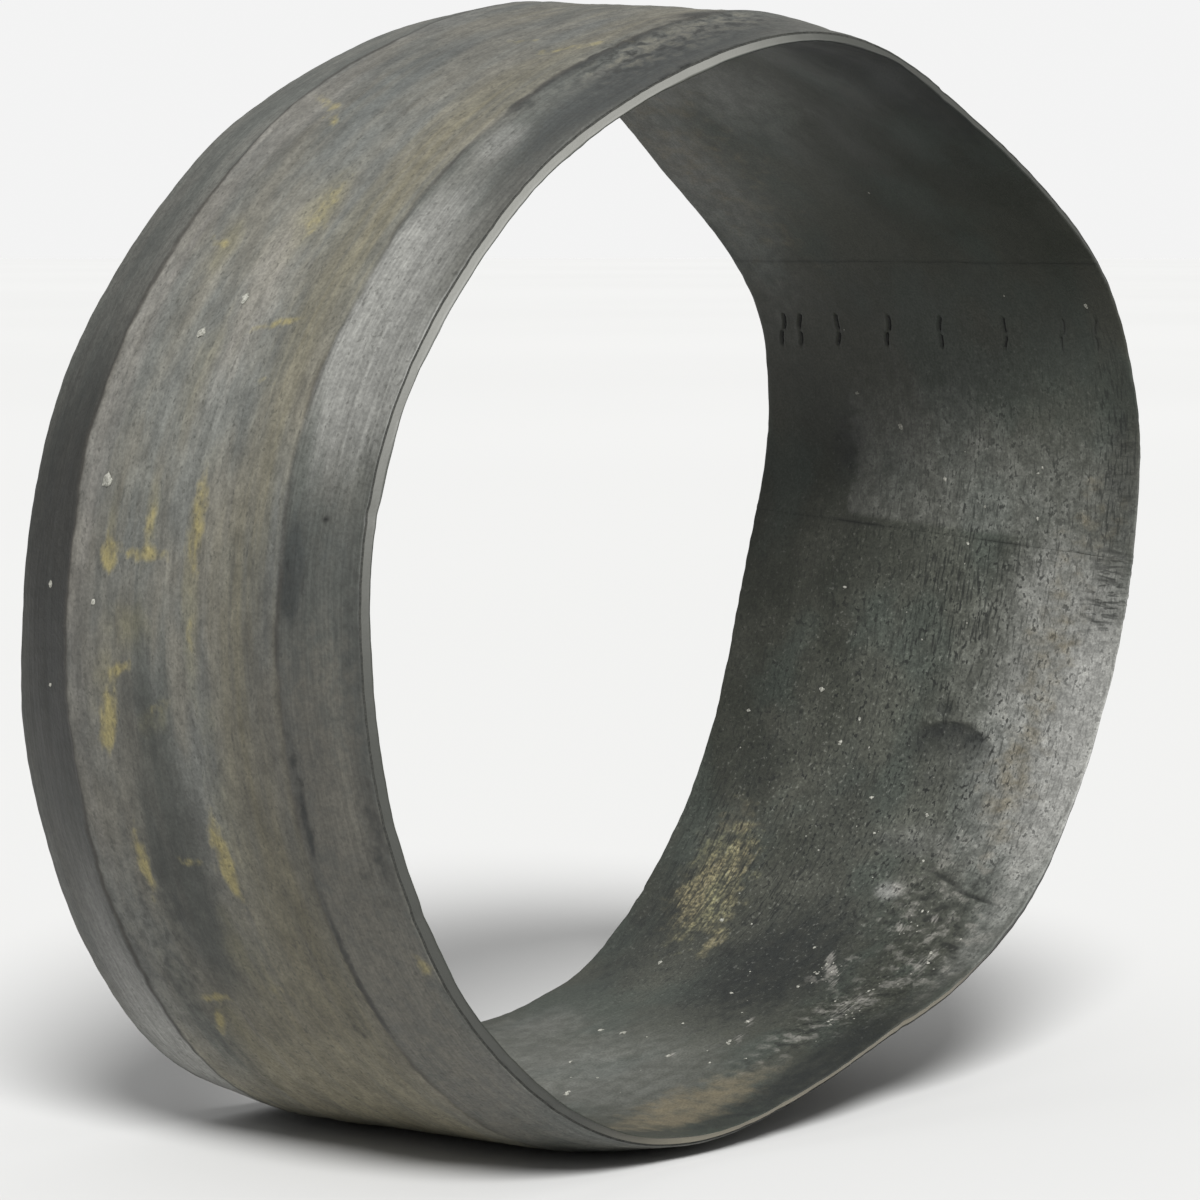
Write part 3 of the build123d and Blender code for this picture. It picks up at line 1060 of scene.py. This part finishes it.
def outside_rubber(name):
    """Weathered grey-brown band, cleaner ground bevels, stains and wax marks, with painted light and shade
    and a painted sheen on the near bevel.
    """
    material, tree, shader = new_material(name)
    cloud = noise(tree, 26, 9, detail=3)
    streak = noise(tree, 40, 2.6, detail=4, offset=5)
    patch = noise(tree, 9, 5, detail=4, offset=7)
    scratch = noise(tree, 16, 0.8, detail=3, offset=6)
    hair = noise(tree, 70, 0.45, offset=9)
    grain = noise(tree, 0.7, 0.7, offset=13)
    blot = noise(tree, 3.2, 2.4, detail=5, offset=17)
    specks = noise(tree, 1.4, 1.0, offset=21)
    # the band
    colour = mix(tree, between(tree, cloud, 0.35, 0.65), tone(91, 92, 88), tone(101, 99, 91))
    # the dark tint also paints shade low on the -X side
    for stain_and_shade, tint in (("warm", WARM), ("cool", COOL), ("mauve", MAUVE), ("dark", DARK_AND_SHADE)):
        colour = mix(tree, broken(tree, stain_and_shade, streak, 1.2, 0.05, 1.15), colour, tint)
    colour = uneven(tree, colour, streak, 0.1)
    colour = uneven(tree, colour, patch, 0.14)
    # the bevels
    bevel = mix(tree, between(tree, cloud, 0.35, 0.65), tone(74, 76, 72), tone(84, 84, 79))
    bevel = mix(tree, broken(tree, "warm", blot, 1.0), bevel, tone(82, 80, 73))
    bevel = mix(tree, broken(tree, "cool", blot, 1.0), bevel, tone(63, 66, 64))
    # painted sheen and painted light on the bevels
    bevel = mix(tree, broken(tree, "pale", streak, 0.8), bevel, tone(109, 109, 105))
    bevel = uneven(tree, bevel, hair, 0.11)
    ground = mask_of(tree, "ground")
    colour = mix(tree, ground, colour, bevel)
    # what lies on both, and painted light and shade
    grit = times(tree, mask_of(tree, "grit"), between(tree, blot, 0.46, 0.62))
    colour = mix(tree, times(tree, grit, 0.7), colour, tone(104, 102, 92))
    holes = times(tree, mask_of(tree, "grit"), between(tree, blot, 0.47, 0.38))
    colour = mix(tree, times(tree, holes, 0.8), colour, tone(38, 40, 37))
    colour = mix(tree, broken(tree, "soot", blot, 1.6, 0.3, 1.1), colour, tone(38, 40, 38))
    # Painted shade and light: darker on the far bevel and in broad zones, lighter in others
    shade = times(tree, mask_of(tree, "shade"), ground)
    for mask, most in ((shade, 0.22), (mask_of(tree, "dim"), 0.5), (mask_of(tree, "lift"), 1.6)):
        factor = put(tree, "MapRange", {"Value": mask, "To Min": 1.0, "To Max": most}).outputs[0]
        colour = scaled(tree, colour, factor)
    haze = times(tree, broken(tree, "haze", patch, 1.4, 0.1, 1.2), 0.6)
    colour = mix(tree, haze, colour, tone(104, 100, 76))
    wax = times(tree, broken(tree, "wax", blot, 1.7, 0.1, 1.05), 0.85)
    colour = mix(tree, wax, colour, tone(128, 119, 80))
    colour = mix(tree, mask_of(tree, "edge"), colour, tone(48, 46, 42))
    # painted shade of the small hole
    colour = mix(tree, mask_of(tree, "hole"), colour, tone(24, 24, 22))
    # fine grain
    colour = uneven(tree, colour, scratch, 0.07)
    colour = uneven(tree, colour, blot, 0.13)
    colour = uneven(tree, colour, grain, 0.14)
    colour = speckled(tree, colour, specks, 0.62, tone(52, 52, 48), 0.4)
    tree.links.new(colour, shader.inputs["Base Color"])
    rough = between(tree, plus(tree, ground, times(tree, cloud, 0.3)), 0.0, 1.3, 0.68, 0.54)
    tree.links.new(rough, shader.inputs["Roughness"])
    height = plus(tree, times(tree, grain, 0.4), times(tree, hair, 0.2))
    height = plus(tree, height, times(tree, blot, 0.8))
    height = minus(tree, height, times(tree, specks, 0.4))
    add_bump(tree, shader, height, 0.2)
    return material


def bore_rubber(name):
    """Smooth dark bore, dusty, scuffed and speckled low down, with a pale cut end, and painted shade high
    in the bore and in the crescent dent.
    """
    material, tree, shader = new_material(name)
    cloud = noise(tree, 20, 16, detail=4, offset=3)
    dashes = noise(tree, 4, 0.6, offset=7)
    grain = noise(tree, 0.5, 0.5, offset=11)
    specks = noise(tree, 0.9, 0.9, detail=3, offset=15)
    blot = noise(tree, 3.6, 3.0, detail=5, offset=19)
    pits = noise(tree, 1.2, 0.9, detail=3, offset=31)
    tinge = noise(tree, 24, 18, detail=3, offset=37)
    flakes = noise(tree, 3.0, 4.5, detail=8, offset=23)
    strokes = noise(tree, 8, 1.2, detail=4, offset=29)
    folds = noise(tree, 0.8, 5, detail=3, offset=27)
    # the rubber
    colour = mix(tree, between(tree, cloud, 0.35, 0.65), tone(48, 50, 43), tone(59, 60, 53))
    colour = mix(tree, mask_of(tree, "rubbed"), colour, tone(69, 71, 64))
    # painted shade high in the bore
    colour = mix(tree, mask_of(tree, "sooty"), colour, tone(39, 42, 36))
    colour = mix(tree, between(tree, tinge, 0.45, 0.65, 0.0, 0.4), colour, tone(56, 65, 60))
    # what lies on it
    dust = broken(tree, "dust", blot, 0.36, 0.05, 1.1)
    colour = mix(tree, dust, colour, tone(132, 132, 128))
    colour = mix(tree, broken(tree, "brown", flakes, 1.6, 0.1, 1.1), colour, tone(98, 91, 74))
    # soot, and painted shade high in the bore and in the crescent dent
    colour = mix(tree, broken(tree, "soot", blot, 1.4, 0.1, 1.2), colour, tone(28, 31, 29))
    chalk = broken(tree, "chalk", flakes, 2.0, 0.1, 1.0)
    flecks = times(tree, chalk, between(tree, specks, 0.36, 0.62, 0.25, 0.8))
    flecks = times(tree, flecks, between(tree, strokes, 0.42, 0.56, 0.25, 1.0))
    chalky = mix(tree, between(tree, cloud, 0.4, 0.6), tone(126, 118, 90), tone(122, 121, 90))
    colour = mix(tree, flecks, colour, chalky)
    scuffed = mask_of(tree, "scuffed")
    pale = times(tree, scuffed, between(tree, flakes, 0.52, 0.66))
    deep = times(tree, scuffed, between(tree, flakes, 0.48, 0.36))
    colour = mix(tree, times(tree, pale, 0.75), colour, tone(126, 124, 118))
    colour = mix(tree, times(tree, deep, 0.9), colour, tone(20, 22, 20))
    white = times(tree, broken(tree, "white", dashes, 2.4, 0.2, 1.0), 0.6)
    colour = mix(tree, white, colour, tone(146, 143, 137))
    # specks, pits and grain
    rough_zone = mask_of(tree, "speckled")
    patchy = uneven(tree, colour, cloud, 0.1)
    patchy = uneven(tree, patchy, blot, 0.2)
    patchy = uneven(tree, patchy, specks, 0.25)
    patchy = speckled(tree, patchy, specks, 0.63, tone(128, 128, 122), 0.32)
    patchy = speckled(tree, patchy, pits, 0.56, tone(20, 22, 20), between(tree, blot, 0.4, 0.6, 0.25, 0.9))
    patchy = speckled(tree, patchy, dashes, 0.6, tone(24, 26, 24), 0.6)
    colour = mix(tree, rough_zone, uneven(tree, colour, blot, 0.06), patchy)
    colour = uneven(tree, colour, grain, 0.18)
    folded = times(tree, mask_of(tree, "wrinkled"), between(tree, folds, 0.52, 0.6))
    dashed = times(tree, mask_of(tree, "dashed"), between(tree, dashes, 0.53, 0.6))
    for mask in (folded, dashed, mask_of(tree, "crack"), mask_of(tree, "joint")):
        colour = mix(tree, times(tree, mask, 0.85), colour, tone(24, 26, 24))
    # the cut ends
    cut = mix(tree, mask_of(tree, "fresh"), tone(66, 67, 63), tone(118, 118, 113))
    cut = mix(tree, mask_of(tree, "tan"), cut, tone(138, 132, 116))
    colour = mix(tree, mask_of(tree, "cut"), colour, cut)
    tree.links.new(colour, shader.inputs["Base Color"])
    tree.links.new(between(tree, cloud, 0.3, 0.7, 0.52, 0.66), shader.inputs["Roughness"])
    roughness = plus(tree, times(tree, rough_zone, 0.8), 0.2)
    height = plus(tree, times(tree, specks, 0.4), times(tree, blot, 0.5))
    height = plus(tree, height, times(tree, times(tree, scuffed, flakes), 2.5))
    height = times(tree, height, roughness)
    height = plus(tree, height, times(tree, grain, 0.25))
    add_bump(tree, shader, height, 0.22)
    return material


def plain_grained(name, dark, light, roughness, length):
    """A finely mottled material for small pieces."""
    material, tree, shader = new_material(name)
    grain = noise(tree, length, length, detail=3)
    colour = mix(tree, between(tree, grain, 0.35, 0.65), dark, light)
    tree.links.new(colour, shader.inputs["Base Color"])
    shader.inputs["Roughness"].default_value = roughness
    add_bump(tree, shader, grain, 0.15)
    return material


# ---- pieces
outside = outside_rubber("outside_rubber")
bore = bore_rubber("bore_rubber")
thread = plain_grained("thread", tone(16, 17, 16), tone(34, 35, 33), 0.7, 0.4)
cloth = plain_grained("cloth", tone(42, 43, 40), tone(58, 58, 54), 0.85, 0.5)
crumb = plain_grained("crumb", tone(118, 118, 110), tone(160, 159, 150), 0.8, 0.5)

make_cover(outside)
make_core(outside)
make_textile(cloth)
make_liner(bore)
make_strip(bore)
make_threads(thread)
make_crumbs("crumbs_outside", OUTSIDE_CRUMBS, skin_radius, 1, crumb, 71)
make_crumbs("crumbs_bore", BORE_CRUMBS + drifting_crumbs(72), bore_radius, -1, crumb, 73)

# ---- floor, light and camera
CAMERA_AZIMUTH = -46.5
CAMERA_ELEVATION = 5.0
CAMERA_DISTANCE = 868.0
CAMERA_LENS = 125.7
AIM_RIGHT = -1.2
AIM_UP = -6.4


def away(azimuth, elevation):
    """Direction from the sleeve to something seen at that azimuth, 0 being the near end."""
    a, e = radians(azimuth), radians(elevation)
    return Vector((sin(a) * cos(e), -cos(a) * cos(e), sin(e)))


def make_floor():
    """A wide, pale disc with a slightly uneven tone."""
    material, tree, shader = new_material("floor")
    cloud = noise(tree, 2500, 2500)
    colour = mix(tree, between(tree, cloud, 0.3, 0.7), tone(196, 196, 195), tone(198, 198, 197))
    tree.links.new(colour, shader.inputs["Base Color"])
    shader.inputs["Roughness"].default_value = 0.9
    shader.inputs["Specular IOR Level"].default_value = 0.0
    radius = 30  # in metres
    corners = 96
    turns = [corner / corners * tau for corner in range(corners)]
    rim = [(radius * cos(turn), radius * sin(turn), REST_Z * MM) for turn in turns]
    mesh = bpy.data.meshes.new("floor")
    mesh.from_pydata(rim, [], [tuple(range(corners))])
    mesh.materials.append(material)
    floor = bpy.data.objects.new("floor", mesh)
    bpy.context.scene.collection.objects.link(floor)


def make_light(name, azimuth, elevation, width, strength):
    """Even light from one direction, as from a wide soft box far away: its width is an angle."""
    data = bpy.data.lights.new(name, "SUN")
    data.angle = radians(width)
    data.energy = strength
    light = bpy.data.objects.new(name, data)
    direction = away(azimuth, elevation)
    light.location = direction
    light.rotation_mode = "QUATERNION"
    light.rotation_quaternion = direction.to_track_quat("Z", "Y")
    bpy.context.scene.collection.objects.link(light)


def make_world():
    """A pale studio: white behind the sleeve, and softer as a light."""
    world = bpy.data.worlds.new("studio")
    world.use_nodes = True
    bpy.context.scene.world = world
    tree = world.node_tree
    background = tree.nodes["Background"]
    background.inputs["Color"].default_value = (1.0, 1.0, 1.0, 1.0)
    way = put(tree, "TexCoord", {}).outputs["Generated"]
    height = put(tree, "SeparateXYZ", {0: way}).outputs["Z"]
    from_sides = 0.14
    from_above = 0.7
    as_seen = 0.9
    lighting = between(tree, height, 0.0, 1.0, from_sides, from_above)
    seen = put(tree, "LightPath", {}).outputs["Is Camera Ray"]
    mixed = put(tree, "Mix", {0: seen, 2: lighting, 3: as_seen}).outputs[0]
    tree.links.new(mixed, background.inputs["Strength"])


def make_camera():
    """The camera at the photograph's viewing angle, aimed a little off the middle of the sleeve."""
    back = away(CAMERA_AZIMUTH, CAMERA_ELEVATION)
    right = Vector((cos(radians(CAMERA_AZIMUTH)), sin(radians(CAMERA_AZIMUTH)), 0))
    up = back.cross(right)
    aim = right * AIM_RIGHT + up * AIM_UP - Vector((0, 0, SINK))
    data = bpy.data.cameras.new("camera")
    data.lens = CAMERA_LENS
    camera = bpy.data.objects.new("camera", data)
    camera.location = (aim + back * CAMERA_DISTANCE) * MM
    camera.rotation_mode = "QUATERNION"
    camera.rotation_quaternion = back.to_track_quat("Z", "Y")
    bpy.context.scene.collection.objects.link(camera)
    bpy.context.scene.camera = camera


make_floor()
make_light("key", azimuth=-40, elevation=46, width=22, strength=4.6)
make_world()
make_camera()
bpy.context.scene.view_settings.view_transform = "Standard"
